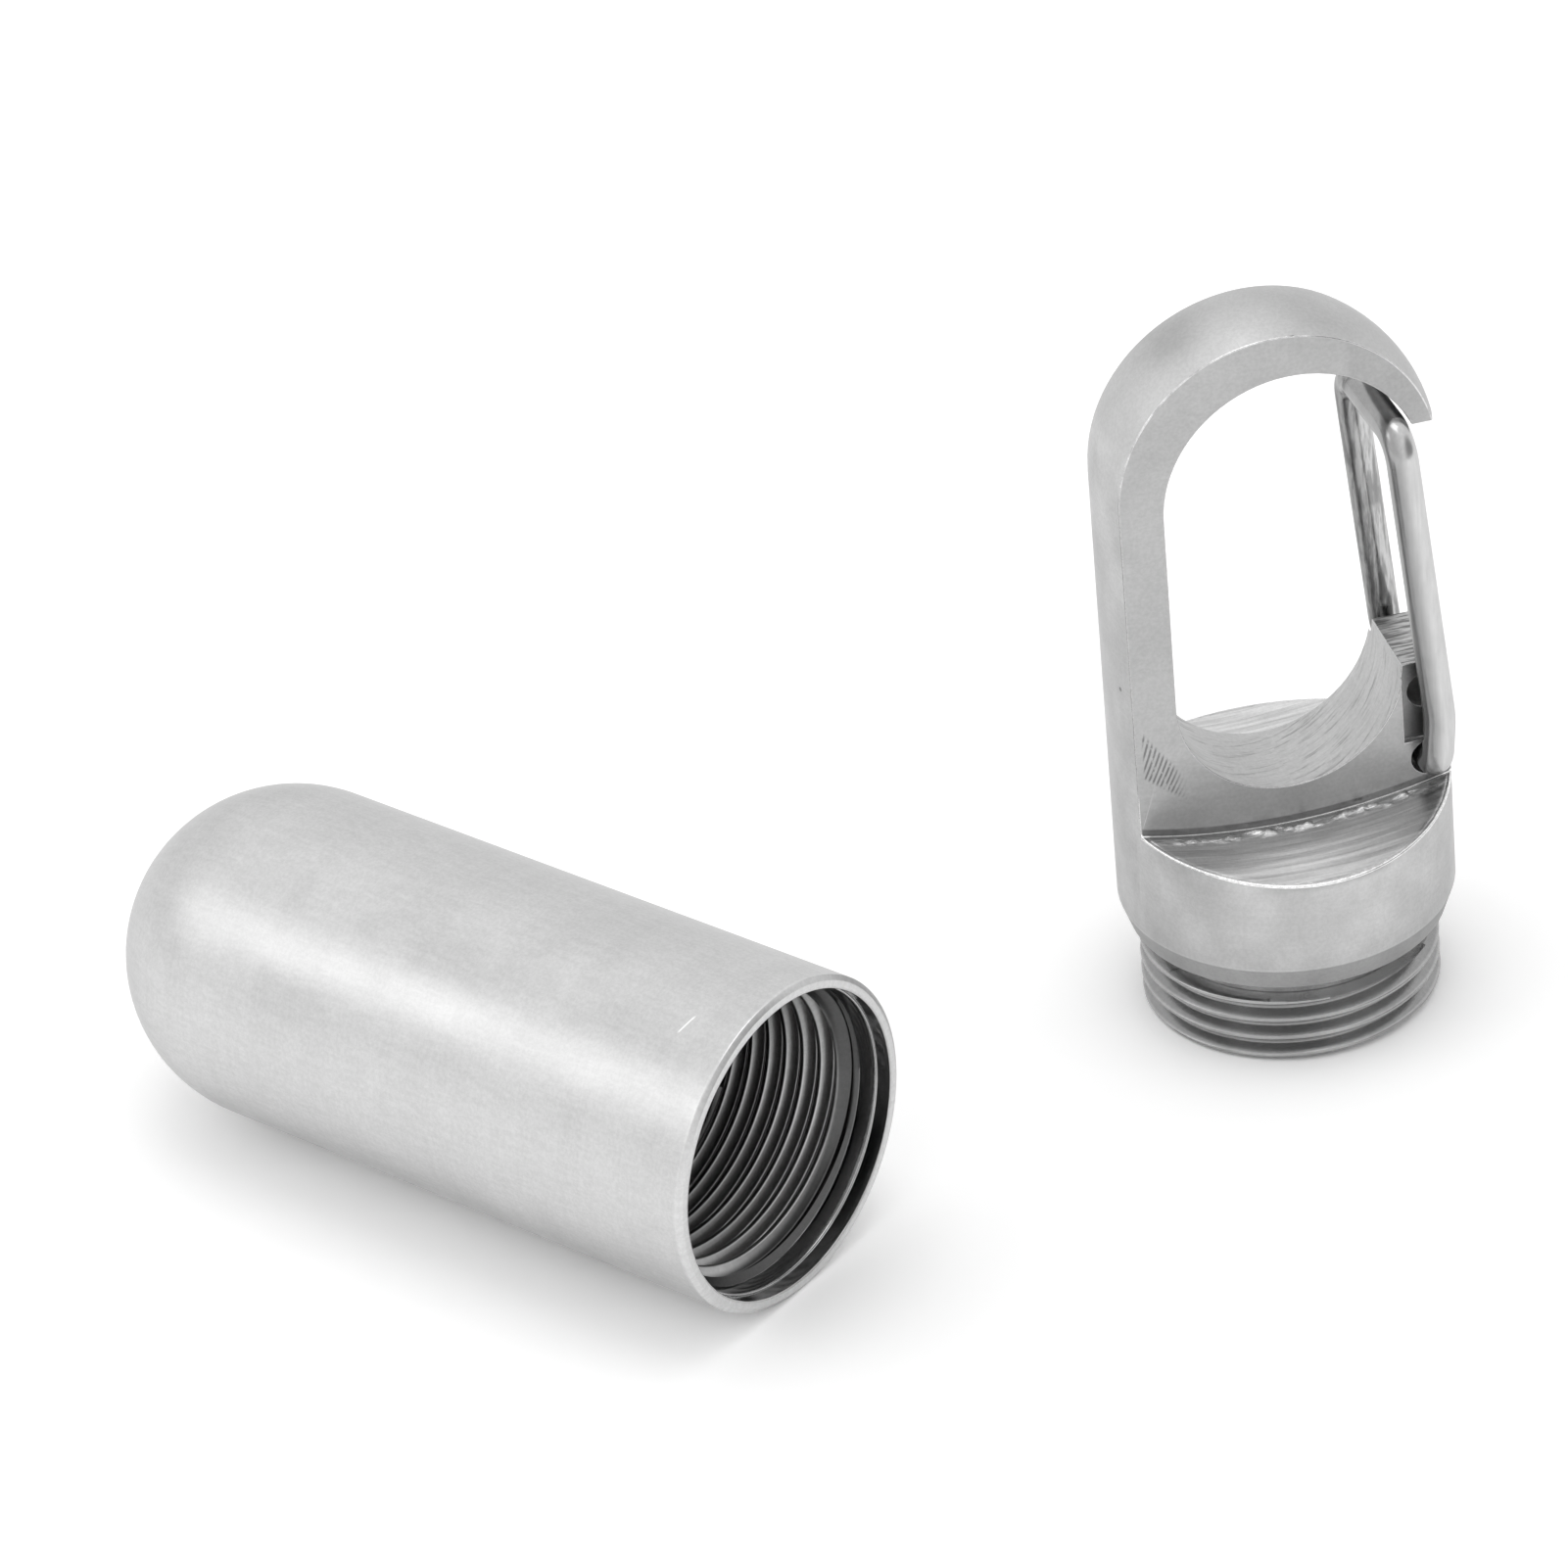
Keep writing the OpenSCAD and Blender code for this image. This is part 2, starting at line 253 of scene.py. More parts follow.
def edge_broken(name, source, keep_face, widths):
    """Copy of a solid whose edges have a small real round, with the true surface normals."""
    bm = bmesh.new()
    bm.from_mesh(source.data)
    bmesh.ops.remove_doubles(bm, verts=bm.verts, dist=2e-7)
    unwanted = [f for f in bm.faces if not keep_face(f)]
    bmesh.ops.delete(bm, geom=unwanted, context="FACES")
    bmesh.ops.holes_fill(bm, edges=[e for e in bm.edges if e.is_boundary], sides=0)
    least_turn = math.radians(24)
    done = set()
    for width, wanted in widths:
        bm.faces.ensure_lookup_table()
        edges = [
            e for e in bm.edges
            if len(e.link_faces) == 2 and e.calc_face_angle() > least_turn
            and wanted((e.verts[0].co + e.verts[1].co) / 2 / MM)
            and not any(f in done for f in e.link_faces)
        ]
        res = bmesh.ops.bevel(
            bm, geom=edges, offset=width * MM, offset_type="OFFSET", segments=2, profile=0.5,
            affect="EDGES", clamp_overlap=False, loop_slide=True, miter_outer="SHARP",
            material=EDGE_STRIP,
        )
        done.update(f for f in res["faces"] if f.material_index == EDGE_STRIP)
    bmesh.ops.triangulate(bm, faces=[f for f in bm.faces if len(f.verts) > 4])
    me = bpy.data.meshes.new(name)
    bm.to_mesh(me)
    bm.free()
    for p in me.polygons:
        p.use_smooth = True

    # faces take the solid's normals, and a strip takes those of the faces beside it
    surface = cad_surface(source.data)
    found = {}
    loops = [None] * len(me.loops)
    for p in me.polygons:
        if p.material_index == EDGE_STRIP:
            continue
        for li in p.loop_indices:
            v = me.loops[li].vertex_index
            n = surface_normal(surface, me.vertices[v].co, p.normal)
            if n is not None:
                loops[li] = n
                found.setdefault(v, []).append(n)
    for p in me.polygons:
        for li in p.loop_indices:
            if loops[li] is None:
                v = me.loops[li].vertex_index
                if v in found:
                    loops[li] = max(found[v], key=lambda m: m.dot(p.normal))
                else:
                    loops[li] = me.vertices[v].normal.copy()
    me.normals_split_custom_set([tuple(n) for n in loops])
    ob = bpy.data.objects.new(name, me)
    scene.collection.objects.link(ob)
    return ob


def build_stub():
    """Threaded stub, neck and foot of the head, closed just inside the shoulder."""
    foot_r = STUB_ROOT - 0.1
    foot_chamfer = 0.18
    foot = lathe([fixed(r, 0.0) for r in (POLE_R, 3.0, foot_r)])
    thread = helix(
        STUB_ROOT, STUB_CREST, 0.0, STUB_LEN, foot_r, NECK_R,
        most=lambda z: STUB_CREST - foot_chamfer + max(0.0, z),
    )
    neck = [fixed(NECK_R, z)
            for z in (STUB_LEN, STUB_LEN + 0.3, SHOULDER_Z - 0.3, SHOULDER_Z - 0.06)]
    neck += [fixed(NECK_R + 0.03, SHOULDER_Z - 0.015), fixed(NECK_R + 0.1, SHOULDER_Z + 0.002),
             fixed(POLE_R, SHOULDER_Z + 0.05)]
    ob = welded(new_object("stub", *joined(foot, thread, lathe(neck))), 40)
    lowest = min(ob.data.polygons, key=lambda p: p.center.z)
    if lowest.normal.z > 0:
        ob.data.flip_normals()
    return ob


def shelf_z(x):
    return CUTTER_Z - math.sqrt(CUTTER_R ** 2 - x * x)


def on_shelf_rim(p):
    return (abs(p.y) > PLATE_Y + 0.1 and abs(p.z - shelf_z(p.x)) < 0.06
            and math.hypot(p.x, p.y) > CASE_R - 0.3)


def smooth(v, lo, hi):
    t = max(0.0, min(1.0, (v - lo) / (hi - lo)))
    return t * t * (3 - 2 * t)


def shelf_lift(x, y, rim, side):
    """How far the rows and the torn strip stand above the cutter's arc."""
    row = noise.noise(Vector((x * 0.10, y * 2.4, 3.1 * side)))
    fine = noise.noise(Vector((x * 0.5, y * 7.0, 7.7 * side)))
    rag = noise.fractal(Vector((x * 1.5, y * 3.6, 1.3 * side)), 1.0, 2.0, 4)
    torn = smooth(y, 2.66, 2.90) * (1 - smooth(y, 3.15, 3.50))
    torn *= 0.35 + 0.65 * smooth(-abs(x), -7.4, -5.0)
    lift = 0.022 + 0.020 * row + 0.007 * fine + torn * 0.21 * max(0.0, rag + 0.16)
    lift -= 0.02 * (1 - smooth(y, PLATE_Y, PLATE_Y + 0.1))
    return lift * smooth(rim - y, 0.0, 0.25)


def build_shelf(name, side):
    """What the cutter left on one shelf, as a thin closed sheet whose borders are sunk in."""
    nx, ny, step = 260, 52, 0.105
    half, rim_r, sunk, thick = 7.44, 7.83, -0.02, 0.2
    verts, faces = [], []
    for i in range(nx + 1):
        x = -half + 2 * half * i / nx
        rim = math.sqrt(rim_r ** 2 - x * x)
        for k in range(ny + 1):
            y = min(PLATE_Y + k * step, rim)
            border = k == 0 or y >= rim or i in (0, nx)
            lift = sunk if border else shelf_lift(x, y, rim, side)
            verts.append((x, side * y, shelf_z(x) + lift))
    verts += [(x, y, shelf_z(x) - thick) for x, y, z in verts]
    under = (nx + 1) * (ny + 1)

    def quad(a, b, c, d):
        faces.append((a, b, c, d) if side > 0 else (d, c, b, a))

    for i in range(nx):
        a, b = i * (ny + 1), (i + 1) * (ny + 1)
        for k in range(ny):
            quad(a + k, b + k, b + k + 1, a + k + 1)
            quad(under + a + k + 1, under + b + k + 1, under + b + k, under + a + k)
        quad(a, a + under, b + under, b)
        quad(b + ny, b + ny + under, a + ny + under, a + ny)
    for k in range(ny):
        a, b = k, nx * (ny + 1) + k
        quad(a + 1, a + 1 + under, a + under, a)
        quad(b, b + under, b + 1 + under, b + 1)
    ob = new_object(name, verts, faces)
    bm = bmesh.new()
    bm.from_mesh(ob.data)
    bmesh.ops.remove_doubles(bm, verts=bm.verts, dist=1e-6)
    bmesh.ops.dissolve_degenerate(bm, edges=bm.edges, dist=1e-6)
    bm.to_mesh(ob.data)
    bm.free()
    return ob


tube = build_tube()
head = edge_broken(
    "head_body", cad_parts["carabiner_head"],
    lambda f: f.calc_center_median().z > (SHOULDER_Z - 0.02) * MM,
    ((0.12, on_shelf_rim), (0.05, lambda p: p.z > SHOULDER_Z - 0.01)),
)
shelves = [build_shelf("shelf_front", -1), build_shelf("shelf_back", 1)]
stub = build_stub()
for ob, body, cad, slot in (
    (tube, "capsule", "capsule_tube", "case_metal"),
    (head, "capsule", "carabiner_head", "head_metal"),
    (stub, "capsule", "carabiner_head", "head_metal"),
    (shelves[0], "capsule", "carabiner_head", "head_metal"),
    (shelves[1], "capsule", "carabiner_head", "head_metal"),
):
    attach(ob, body)
    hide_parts(cad)


# ---------------------------------------------------------------- material helpers
class Tree:
    """Short names for the shader nodes of one metal. Places are in millimetres."""

    def __init__(self, name):
        self.mat = bpy.data.materials.new(name)
        self.mat.use_nodes = True
        self.t = self.mat.node_tree
        self.t.nodes.clear()
        out = self.t.nodes.new("ShaderNodeOutputMaterial")
        self.bsdf = self.t.nodes.new("ShaderNodeBsdfPrincipled")
        self.t.links.new(self.bsdf.outputs["BSDF"], out.inputs["Surface"])
        tc = self.t.nodes.new("ShaderNodeTexCoord")
        self.co = self.vec("MULTIPLY", tc.outputs["Object"], (1 / MM, 1 / MM, 1 / MM))
        self.x, self.y, self.z = self.parts(self.co)
        self.nx, self.ny, self.nz = self.parts(tc.outputs["Normal"])

    def parts(self, vector):
        n = self.t.nodes.new("ShaderNodeSeparateXYZ")
        self.t.links.new(vector, n.inputs[0])
        return n.outputs

    def put(self, value, socket):
        if isinstance(value, (int, float, tuple)):
            socket.default_value = value
        else:
            self.t.links.new(value, socket)

    def vec(self, op, a, b):
        n = self.t.nodes.new("ShaderNodeVectorMath")
        n.operation = op
        self.put(a, n.inputs[0])
        self.put(b, n.inputs[1])
        return n.outputs["Value"] if op in ("DOT_PRODUCT", "DISTANCE") else n.outputs[0]

    def m(self, op, a, b=0.0):
        n = self.t.nodes.new("ShaderNodeMath")
        n.operation = op
        self.put(a, n.inputs[0])
        self.put(b, n.inputs[1])
        return n.outputs[0]

    def mul(self, *vs):
        out = vs[0]
        for v in vs[1:]:
            out = self.m("MULTIPLY", out, v)
        return out

    def add(self, *vs):
        out = vs[0]
        for v in vs[1:]:
            out = self.m("ADD", out, v)
        return out

    def hypot(self, a, b):
        return self.m("SQRT", self.add(self.mul(a, a), self.mul(b, b)))

    def others(self, mask):
        """Where the mask is not."""
        return self.m("SUBTRACT", 1.0, mask)

    def mix(self, fac, a, b):
        """a + (b - a) * fac for plain values."""
        n = self.t.nodes.new("ShaderNodeMix")
        n.data_type = "FLOAT"
        self.put(fac, n.inputs["Factor"])
        self.put(a, n.inputs[2])
        self.put(b, n.inputs[3])
        return n.outputs[0]

    def step(self, v, lo, hi):
        """0 at lo, 1 at hi, smooth between and flat beyond; lo may exceed hi."""
        n = self.t.nodes.new("ShaderNodeMapRange")
        n.interpolation_type = "SMOOTHSTEP"
        self.put(v, n.inputs["Value"])
        ends = (lo, hi, 0.0, 1.0) if lo <= hi else (hi, lo, 1.0, 0.0)
        for key, end in zip(("From Min", "From Max", "To Min", "To Max"), ends):
            n.inputs[key].default_value = end
        return n.outputs["Result"]

    def xyz(self, a, b, c=0.0):
        n = self.t.nodes.new("ShaderNodeCombineXYZ")
        for v, s in zip((a, b, c), n.inputs):
            self.put(v, s)
        return n.outputs[0]

    def noise(self, vec, scale=1.0, detail=2.0, rough=0.5):
        n = self.t.nodes.new("ShaderNodeTexNoise")
        self.put(vec, n.inputs["Vector"])
        n.inputs["Scale"].default_value = scale
        n.inputs["Detail"].default_value = detail
        n.inputs["Roughness"].default_value = rough
        return n.outputs["Fac"]

    def streaks(self, a, ka, b, kb, offset=0.0, detail=3.0, rough=0.6):
        """Noise stretched along two coordinates; ka and kb are waves per unit."""
        return self.noise(self.xyz(self.mul(a, ka), self.mul(b, kb), offset), 1.0, detail, rough)

    def around(self, v, amount):
        """Noise value 0..1 turned into 1 +- amount."""
        return self.add(self.mul(v, 2 * amount), 1 - amount)

    def patchy(self, v, spread, amount):
        """As around, with the noise stretched to its whole range first."""
        return self.around(self.step(v, 0.5 - spread, 0.5 + spread), amount)

    def finish(self, value, rough, height, micron):
        """Grey metal of this value, roughness and relief; micron is one unit of height."""
        col = self.t.nodes.new("ShaderNodeCombineColor")
        for s in col.inputs:
            self.put(value, s)
        self.t.links.new(col.outputs[0], self.bsdf.inputs["Base Color"])
        self.bsdf.inputs["Metallic"].default_value = 1.0
        self.bsdf.inputs["Specular Tint"].default_value = (0.80, 0.80, 0.80, 1.0)
        self.put(rough, self.bsdf.inputs["Roughness"])
        b = self.t.nodes.new("ShaderNodeBump")
        b.inputs["Strength"].default_value = 1.0
        b.inputs["Distance"].default_value = micron * 1e-6
        self.put(height, b.inputs["Height"])
        self.t.links.new(b.outputs["Normal"], self.bsdf.inputs["Normal"])
        return self.mat


# ---------------------------------------------------------------- tube metal
# one light scratch, where a + lean * angle = start, about the middle angle;
# a is the place along the tube, and angles round it are in radians
SCRATCH_LEAN, SCRATCH_START, SCRATCH_MIDDLE = 2.0, 1.115, 1.9534


def tube_metal():
    t = Tree("tube_metal")
    # along the axis, round it and out from it
    rel = t.vec("SUBTRACT", t.co, tuple(MOUTH))
    a = t.vec("DOT_PRODUCT", rel, tuple(AXIS))
    s = t.vec("DOT_PRODUCT", rel, tuple(SIDE))
    up = t.vec("DOT_PRODUCT", rel, (0.0, 0.0, 1.0))
    ang = t.m("ARCTAN2", up, s)
    rad = t.hypot(s, up)
    past_dome_centre = t.m("MAXIMUM", t.m("SUBTRACT", -TUBE_LEN, a), 0.0)
    reach = t.hypot(rad, past_dome_centre)
    # zones
    inside = t.mul(t.step(reach, 7.5, 7.38), t.step(a, 0.2, -0.05))
    lip = t.mul(t.step(a, -0.34, -0.24), t.step(rad, SEAT_R - 0.05, SEAT_R - 0.01))
    thread = t.step(a, RELIEF_A + 0.04, RELIEF_A - 0.04)
    past_lead = t.step(a, -2.42, -2.62)
    depth = t.step(a, -3.0, -12.0)
    # marks
    rings = t.streaks(a, 9.0, ang, 0.5, rough=0.65)
    bands = t.streaks(a, 1.3, ang, 0.35, 3.0, 2.0, 0.5)
    hairs = t.streaks(a, 0.55, ang, 26.0, 8.0, rough=0.7)
    clouds = t.noise(t.co, 0.16, 3.0, 0.55)
    grain = t.noise(t.co, 5.5, 3.0, 0.75)
    across = t.m("ABSOLUTE", t.add(a, t.mul(ang, SCRATCH_LEAN), -SCRATCH_START))
    along = t.m("ABSOLUTE", t.add(ang, -SCRATCH_MIDDLE))
    scratch = t.mul(t.step(across, 0.07, 0.02), t.step(along, 0.075, 0.05))

    value = t.mul(
        0.60, t.patchy(clouds, 0.20, 0.035), t.around(rings, 0.04), t.around(bands, 0.04),
        t.patchy(grain, 0.16, 0.05), t.patchy(hairs, 0.16, 0.03),
    )
    value = t.mix(scratch, value, 0.93)
    value = t.mul(value, t.mix(lip, 1.0, 1.08))
    # painted shade inside the mouth: seat and relief, then the cone that leads in, then the
    # thread, darker with depth
    painted_inside_shade = t.mix(thread, 0.74, t.mix(past_lead, 0.17, t.mix(depth, 0.76, 0.42)))
    value = t.mul(value, t.mix(inside, 1.0, painted_inside_shade))

    rough = t.add(
        0.24, t.mul(t.step(clouds, 0.25, 0.75), 0.14), t.mul(grain, 0.10), t.mul(hairs, 0.05),
    )
    rough = t.mix(inside, rough, t.mix(thread, 0.10, 0.30))
    height = t.add(
        t.mul(rings, 0.5), t.mul(grain, 1.2), t.mul(bands, 0.9), t.mul(hairs, 1.2),
        t.mul(clouds, 6.0),
    )
    return t.finish(value, rough, height, 2.2)


# ---------------------------------------------------------------- head metal
PIT = (-7.85, -1.56, 19.00)
# two painted dark reflections on the crown: place, and share of the value left there
CROWN_DARK_REFLECTIONS = (((-4.0, 0.16, 35.62), 0.80), ((2.65, -1.02, 36.18), 0.88))
# patch of cutter strokes: the height that their curves are measured from, how close
# they lie, and the lines a x + b z + c = 0 that bound the patch above and below
STROKES_Z, STROKES_RATE = 14.0, 28.9
STROKES_TOP, STROKES_FOOT = (-0.823, -0.567, 3.728), (0.631, 0.776, -6.599)


def cutter_strokes(t, flat):
    """Short strokes low on the spine side of each face."""
    z = t.add(t.z, -STROKES_Z)
    phase = t.add(t.mul(t.x, 0.87), t.mul(z, -0.46), t.mul(z, z, 0.047))
    strokes = t.step(t.m("SINE", t.mul(phase, STROKES_RATE)), -0.2, 0.6)
    breaks = t.step(t.streaks(t.x, 2.6, t.z, 2.0, 6.0, 2.0), 0.30, 0.46)

    def side_of(line, far):
        per_x, per_z, start = line
        return t.step(t.add(t.mul(t.x, per_x), t.mul(t.z, per_z), start), -0.05, far)

    patch = t.mul(
        flat, t.step(t.x, -7.31, -7.16), t.step(t.x, -5.09, -6.09),
        side_of(STROKES_TOP, 0.22), side_of(STROKES_FOOT, 0.18),
    )
    return t.mul(strokes, breaks, patch)


def head_metal():
    t = Tree("head_metal")
    ax, ay, facing = (t.m("ABSOLUTE", v) for v in (t.x, t.y, t.ny))
    rad = t.hypot(t.x, t.y)
    ang = t.m("ARCTAN2", t.y, t.x)
    # distance and angle from the axis of the disc cutter, and angle round the window
    cz = t.add(t.z, -CUTTER_Z)
    cr = t.hypot(t.x, cz)
    ca = t.m("ARCTAN2", t.x, cz)
    wa = t.m("ARCTAN2", t.x, t.add(t.z, -WINDOW_Z))

    # zones
    faces_y = t.step(facing, 0.9, 0.98)
    flat = t.mul(faces_y, t.step(t.z, SHELF_Z - 0.4, SHELF_Z))
    low = t.step(t.z, SHOULDER_Z + 0.06, SHOULDER_Z)
    neck = t.step(t.z, STUB_LEN, STUB_LEN + 0.06)
    crest = t.step(rad, STUB_CREST - 0.14, STUB_CREST - 0.04)
    bevel = t.mul(t.step(t.z, BEVEL_Z - 0.08, BEVEL_Z - 0.18), t.others(low))
    pocket_shade = t.mul(
        t.step(ay, 2.32, 2.26), faces_y, t.step(t.x, 4.4, 4.8), t.step(t.z, 19.0, 18.6),
    )
    under_hook_shade = t.mul(
        t.step(t.nz, 0.1, -0.3), t.step(t.x, 3.2, 3.8), t.step(t.z, 28.6, 29.2),
        t.step(rad, CASE_R - 0.15, CASE_R - 0.3),
    )
    shelf = t.mul(
        t.step(ay, PLATE_Y - 0.06, PLATE_Y),
        t.step(cr, CUTTER_R - 0.45, CUTTER_R - 0.35), t.step(cr, CUTTER_R + 0.12, CUTTER_R + 0.06),
        t.step(rad, CASE_R - 0.04, CASE_R - 0.10),
        t.step(t.z, SHELF_Z - 0.4, SHELF_Z - 0.2), t.step(t.z, 14.0, 13.6),
    )
    inner = t.mul(
        t.step(ay, PLATE_Y + 0.02, PLATE_Y - 0.02), t.step(facing, 0.6, 0.3),
        t.step(rad, 7.5, 7.3), t.step(t.z, WINDOW_LOW_Z - 0.2, WINDOW_LOW_Z - 0.05),
    )
    lug_top = t.mul(
        inner, t.step(t.nz, 0.9, 0.98), t.step(t.z, LUG_Z - 0.2, LUG_Z - 0.1),
        t.step(ax, 5.0, 5.2),
    )
    bowl = t.mul(inner, t.step(t.z, LUG_Z - 0.2, LUG_Z - 0.6))
    near_shelf_shade = t.mul(flat, t.step(cr, 26.6, 27.4))
    outer = t.mul(t.others(flat), t.others(inner), t.others(shelf))

    # marks of the whole head
    clouds = t.noise(t.co, 0.22, 3.0, 0.6)
    blots = t.noise(t.co, 0.55, 2.0, 0.5)
    smears = t.xyz(t.mul(t.x, 0.34), t.mul(t.y, 0.34), t.mul(t.z, 0.26))
    smears = t.noise(smears, 1.0, 2.5, 0.55)
    grain = t.noise(t.co, 5.5, 3.0, 0.75)
    # turned outside, milled and brushed faces
    turned = t.streaks(t.z, 8.0, ang, 0.6)
    milled = t.streaks(cr, 5.0, ca, 8.0, t.mul(t.y, 0.1))
    brushed = t.streaks(t.z, 7.0, t.x, 0.9, 5.0, rough=0.65)
    arc = t.mul(t.m("SINE", t.mul(cr, 9.0)), flat, t.step(cr, 26.0, 29.5), 0.35)
    strokes = cutter_strokes(t, flat)
    # shelf: rows left by the side of the cutter, and a torn strip at its root
    yy = t.add(ay, t.mul(blots, 0.10), t.mul(t.mul(t.x, t.x), 0.004))
    rows = t.streaks(yy, 2.6, t.x, 0.10, 2.0, rough=0.7)
    fine_rows = t.streaks(yy, 7.0, t.x, 0.35, 9.0, 2.0)
    # painted shade along the crease where the shelf meets the flat
    root_shade = t.step(ay, PLATE_Y, PLATE_Y + 0.08)
    torn_at = t.mul(t.step(ay, 2.70, 2.90), t.step(ay, 3.60, 3.25))
    torn = t.mul(t.step(t.streaks(t.x, 1.6, ay, 4.5, 1.0, 4.0, 0.75), 0.42, 0.60), torn_at)
    # bowl: long streaks of the end mill round the window; lug: straight lines
    streak = t.streaks(wa, 2.4, t.add(t.y, t.mul(wa, 0.9)), 5.5, 4.0, 4.0, 0.7)
    gouge = t.streaks(wa, 1.6, t.add(t.y, t.mul(wa, 1.6)), 4.2, 8.0, 4.0, 0.75)
    lines = t.streaks(t.x, 0.5, t.y, 4.2, 7.0, 2.0)

    value = t.mul(0.55, t.patchy(clouds, 0.20, 0.05), t.patchy(grain, 0.16, 0.05))
    looks = (
        (outer, t.mul(t.around(turned, 0.06), t.patchy(blots, 0.20, 0.035),
                      t.around(t.step(smears, 0.36, 0.62), 0.055))),
        (flat, t.mul(0.79, t.around(brushed, 0.07), t.around(milled, 0.05))),
        (strokes, 0.48),
        # painted shade on the lower part of each flat, towards its corner with the shelf
        (near_shelf_shade, 0.92),
        # painted shade: the bevel darker, standing in for its reflection of the shaded floor
        (bevel, 0.65),
        # painted shade in the recess that the wire leg lies over
        (pocket_shade, 0.55),
        # painted shade on the downward faces under the hook's nose
        (under_hook_shade, 0.45),
        (bowl, t.mul(t.around(streak, 0.20), t.mix(t.step(gouge, 0.52, 0.66), 1.0, 0.62))),
        (lug_top, t.mix(t.step(lines, 0.42, 0.58), 0.42, 1.1)),
        (shelf, t.mul(t.around(rows, 0.55), t.around(fine_rows, 0.25), 1.18,
                      t.mix(root_shade, 0.45, 1.0))),
    )
    for mask, look in looks:
        value = t.mul(value, t.mix(mask, 1.0, look))
    value = t.mix(t.mul(torn, shelf), value, 0.86)
    # painted shade on the stub's thread, grooves darker than crests, and painted light on the neck
    # above it to offset its shade
    value = t.mul(value, t.mix(low, 1.0, t.mix(neck, t.mix(crest, 0.52, 0.72), 1.30)))
    # painted dark reflections on the crown, soft-edged by the clouds
    for dim_spot, left in CROWN_DARK_REFLECTIONS:
        away = t.add(t.vec("DISTANCE", t.co, dim_spot), t.mul(clouds, 1.6))
        value = t.mul(value, t.mix(t.step(away, 0.9, 3.4), left, 1.0))
    pit_edge = t.step(t.vec("DISTANCE", t.co, PIT), 0.07, 0.15)
    value = t.mul(value, t.mix(pit_edge, 0.4, 1.0))
    value = t.m("MINIMUM", value, 0.97)

    rough = t.add(0.34, t.mul(clouds, 0.14), t.mul(smears, 0.08), t.mul(grain, 0.04))
    rough = t.mix(flat, rough, t.add(0.27, t.mul(brushed, 0.12)))
    rough = t.mix(shelf, rough, t.add(0.22, t.mul(rows, 0.2)))
    rough = t.mix(low, rough, 0.24)

    height = t.add(
        t.mul(grain, 0.35), t.mul(clouds, 1.5),
        t.mul(outer, turned, 0.8),
        t.mul(flat, t.add(t.mul(brushed, 0.7), t.mul(milled, 0.6), arc)),
        t.mul(strokes, 1.6),
        t.mul(bowl, streak, 4.0),
        t.mul(lug_top, lines, 7.0),
        t.mul(shelf, t.add(t.mul(rows, 3.0), t.mul(fine_rows, 2.0), t.mul(torn, 4.0))),
    )
    return t.finish(value, rough, height, 2.4)


# ---------------------------------------------------------------- wire and edges
def wire_metal():
    """Drawn spring wire, with painted shade in dark streaks on the far leg and on the side that
    faces the window.
    """
    t = Tree("gate_metal")

    def along_wire(k_across, k_along, rough):
        co = t.xyz(t.mul(t.x, k_across), t.mul(t.y, k_across), t.mul(t.z, k_along))
        return t.noise(co, 1.0, 3.0, rough)

    clouds = t.noise(t.co, 0.5, 3.0, 0.6)
    drawn = along_wire(9.0, 0.35, 0.6)
    rub = along_wire(2.0, 0.9, 0.65)
    shade_streaks = t.step(along_wire(3.2, 0.42, 0.7), 0.40, 0.60)
    far_leg_shade = t.step(t.y, 1.2, 1.9)
    window_side_shade = t.step(t.nx, 0.15, -0.55)
    value = t.mul(0.57, t.around(clouds, 0.10), t.around(drawn, 0.14), t.around(rub, 0.14))
    # painted shade: the side that faces the window darker, and dark streaks along the far leg
    value = t.mul(
        value, t.mix(window_side_shade, 1.0, 0.62), t.mix(far_leg_shade, 1.0, t.mix(shade_streaks, 0.50, 0.95)),
    )
    rough = t.add(0.12, t.mul(clouds, 0.08), t.mul(rub, 0.10))
    height = t.add(t.mul(drawn, 1.0), t.mul(rub, 1.4))
    return t.finish(value, rough, height, 2.0)


def edge_metal():
    """Broken edges, with painted highlights in patches on the crown's edge and on the shelves'
    rims.
    """
    t = Tree("edge_metal")
    wear_and_sheen = t.noise(t.co, 0.8, 3.0, 0.6)
    chips = t.noise(t.co, 5.0, 3.0, 0.7)
    from_centre = t.vec("DISTANCE", t.co, (0.0, 0.0, CROWN_Z))
    # painted highlights: crown's edge and shelves' rims made brighter in patches
    crown = t.mul(
        t.step(from_centre, 7.0, 7.3), t.step(t.z, 29.0, 31.0), t.step(wear_and_sheen, 0.38, 0.56), 0.22,
    )
    rim = t.mul(
        t.step(t.hypot(t.x, t.y), 7.5, 7.7), t.step(t.z, 14.0, 13.0), t.step(t.z, 8.0, 9.0),
        t.mix(t.step(wear_and_sheen, 0.30, 0.46), 0.45, 1.0), 0.36,
    )
    value = t.mul(t.add(0.50, crown, rim), t.patchy(chips, 0.16, 0.12))
    return t.finish(value, t.add(0.16, t.mul(wear_and_sheen, 0.14)), chips, 3.0)


tube.data.materials.append(tube_metal())
main_metal = head_metal()
for ob in (head, stub, *shelves):
    ob.data.materials.append(main_metal)
head.data.materials.append(edge_metal())     # EDGE_STRIP
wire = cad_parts["wire_gate"]
wire.data.materials.clear()
wire.data.materials.append(wire_metal())


# ---------------------------------------------------------------- camera
CAMERA_AT = Vector((-82.63, -288.15, 206.85))
CAMERA_RIGHT, CAMERA_UP = Vector((0.9797, -0.2004, 0.0)), Vector((0.1088, 0.5319, 0.8398))
ROLL_COS, ROLL_SIN = 0.99516, 0.09828


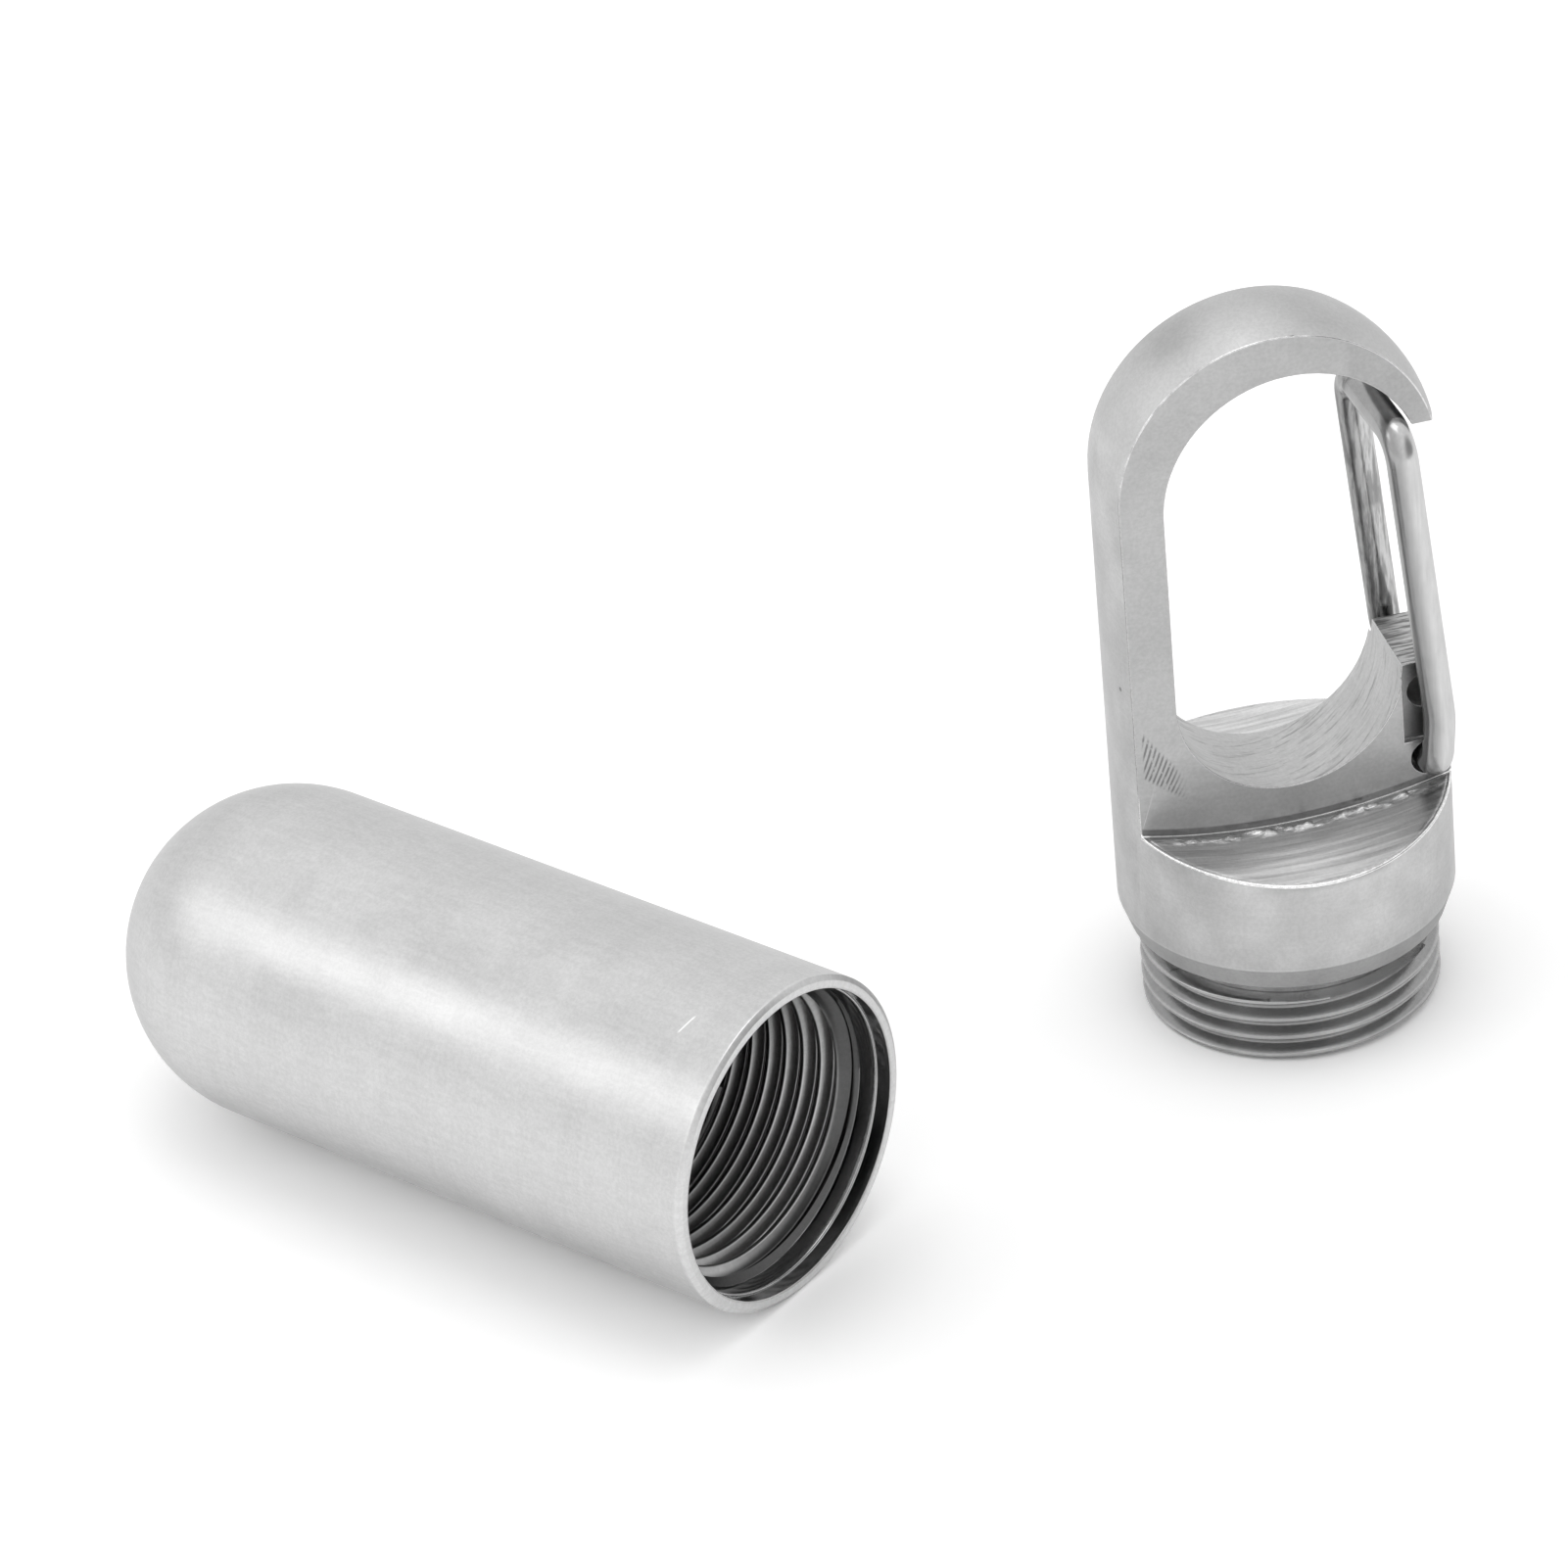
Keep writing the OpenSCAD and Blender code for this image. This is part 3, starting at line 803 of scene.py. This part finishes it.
def place_camera():
    cam = bpy.data.cameras.new("photo_camera")
    cam.sensor_fit = "HORIZONTAL"
    cam.sensor_width = 36.0
    cam.lens = 174.77
    cam.clip_start = 0.01
    cam.clip_end = 10.0
    ob = bpy.data.objects.new("photo_camera", cam)
    scene.collection.objects.link(ob)
    x = (ROLL_COS * CAMERA_RIGHT - ROLL_SIN * CAMERA_UP).normalized()
    y = (ROLL_SIN * CAMERA_RIGHT + ROLL_COS * CAMERA_UP).normalized()
    z = x.cross(y).normalized()
    y = z.cross(x)
    turned = Matrix((x, y, z)).transposed().to_4x4()
    ob.matrix_world = Matrix.Translation(CAMERA_AT * MM) @ turned
    scene.camera = ob


place_camera()

# ---------------------------------------------------------------- stage
FLOOR_ALBEDO = 0.80      # of the floor as a light on the object
FLOOR_SEEN = 1.14        # of the floor as the camera and the metal see it
WORLD_SOFT = 0.88        # strength of the world as a light on the object
# one side, roughly where the tube's mouth points, is the unlit end of the room
DIM_SIDE, DIM_STARTS, DIM_WHOLE, DIM_LEFT = Vector((0.83, -0.56, 0.12)), 0.76, 0.95, 0.35
LAMPS_AIM = Vector((-0.02, 0.0, 0.012))
LAMPS = (
    # name, place, size, power
    ("left_box", (-0.51, 0.05, 0.335), (0.34, 0.19), 0.215),
    ("top_box", (0.0, 0.02, 0.70), (0.46, 0.34), 0.70),
)


def area(name, loc, size, power):
    light = bpy.data.lights.new(name, "AREA")
    light.shape = "RECTANGLE"
    light.size, light.size_y = size
    light.energy = power
    ob = bpy.data.objects.new(name, light)
    scene.collection.objects.link(ob)
    ob.location = loc
    ob.rotation_euler = (LAMPS_AIM - Vector(loc)).to_track_quat("-Z", "Y").to_euler()


for lamp in LAMPS:
    area(*lamp)


def largest(t, *sockets):
    """The largest of several sockets in the node tree t."""
    out = sockets[0]
    for socket in sockets[1:]:
        n = t.nodes.new("ShaderNodeMath")
        n.operation = "MAXIMUM"
        t.links.new(out, n.inputs[0])
        t.links.new(socket, n.inputs[1])
        out = n.outputs[0]
    return out


def shown(t, light_path):
    """1 for the rays that show the backdrop: camera, glossy and transmission rays."""
    rays = ("Is Camera Ray", "Is Glossy Ray", "Is Transmission Ray")
    return largest(t, *(light_path.outputs[ray] for ray in rays))


def stage_floor():
    """Pale floor that the camera sees as white, with the object's shadow kept."""
    half, below = 1.5, -1e-5
    corners = [(x * half, y * half, below) for x, y in ((-1, -1), (1, -1), (1, 1), (-1, 1))]
    me = bpy.data.meshes.new("floor")
    me.from_pydata(corners, [], [(0, 1, 2, 3)])
    ob = bpy.data.objects.new("floor", me)
    scene.collection.objects.link(ob)
    mat = bpy.data.materials.new("floor_white")
    mat.use_nodes = True
    t = mat.node_tree
    bsdf = t.nodes["Principled BSDF"]
    bsdf.inputs["Roughness"].default_value = 1.0
    bsdf.inputs["Specular IOR Level"].default_value = 0.0
    mix = t.nodes.new("ShaderNodeMix")
    mix.data_type = "RGBA"
    mix.inputs[6].default_value = (FLOOR_ALBEDO,) * 3 + (1,)
    mix.inputs[7].default_value = (FLOOR_SEEN,) * 3 + (1,)
    t.links.new(shown(t, t.nodes.new("ShaderNodeLightPath")), mix.inputs[0])
    t.links.new(mix.outputs[2], bsdf.inputs["Base Color"])
    me.materials.append(mat)


stage_floor()


def stage_world():
    """White to the camera, softer as a light, and dim in reflections of one side."""
    world = bpy.data.worlds.new("studio")
    scene.world = world
    world.use_nodes = True
    t = world.node_tree
    bg = t.nodes["Background"]
    bg.inputs["Color"].default_value = (1, 1, 1, 1)
    tc = t.nodes.new("ShaderNodeTexCoord")
    towards = t.nodes.new("ShaderNodeVectorMath")
    towards.operation = "DOT_PRODUCT"
    towards.inputs[1].default_value = DIM_SIDE.normalized()
    t.links.new(tc.outputs["Generated"], towards.inputs[0])
    dim = t.nodes.new("ShaderNodeMapRange")
    dim.interpolation_type = "SMOOTHSTEP"
    dim.inputs["From Min"].default_value = DIM_STARTS
    dim.inputs["From Max"].default_value = DIM_WHOLE
    dim.inputs["To Min"].default_value = 1.0
    dim.inputs["To Max"].default_value = DIM_LEFT
    t.links.new(towards.outputs["Value"], dim.inputs["Value"])
    light_path = t.nodes.new("ShaderNodeLightPath")
    mix = t.nodes.new("ShaderNodeMix")
    mix.inputs[2].default_value = WORLD_SOFT
    t.links.new(shown(t, light_path), mix.inputs[0])
    t.links.new(largest(t, dim.outputs["Result"], light_path.outputs["Is Camera Ray"]),
                mix.inputs[3])
    t.links.new(mix.outputs[0], bg.inputs["Strength"])


stage_world()
scene.view_settings.view_transform = "Standard"
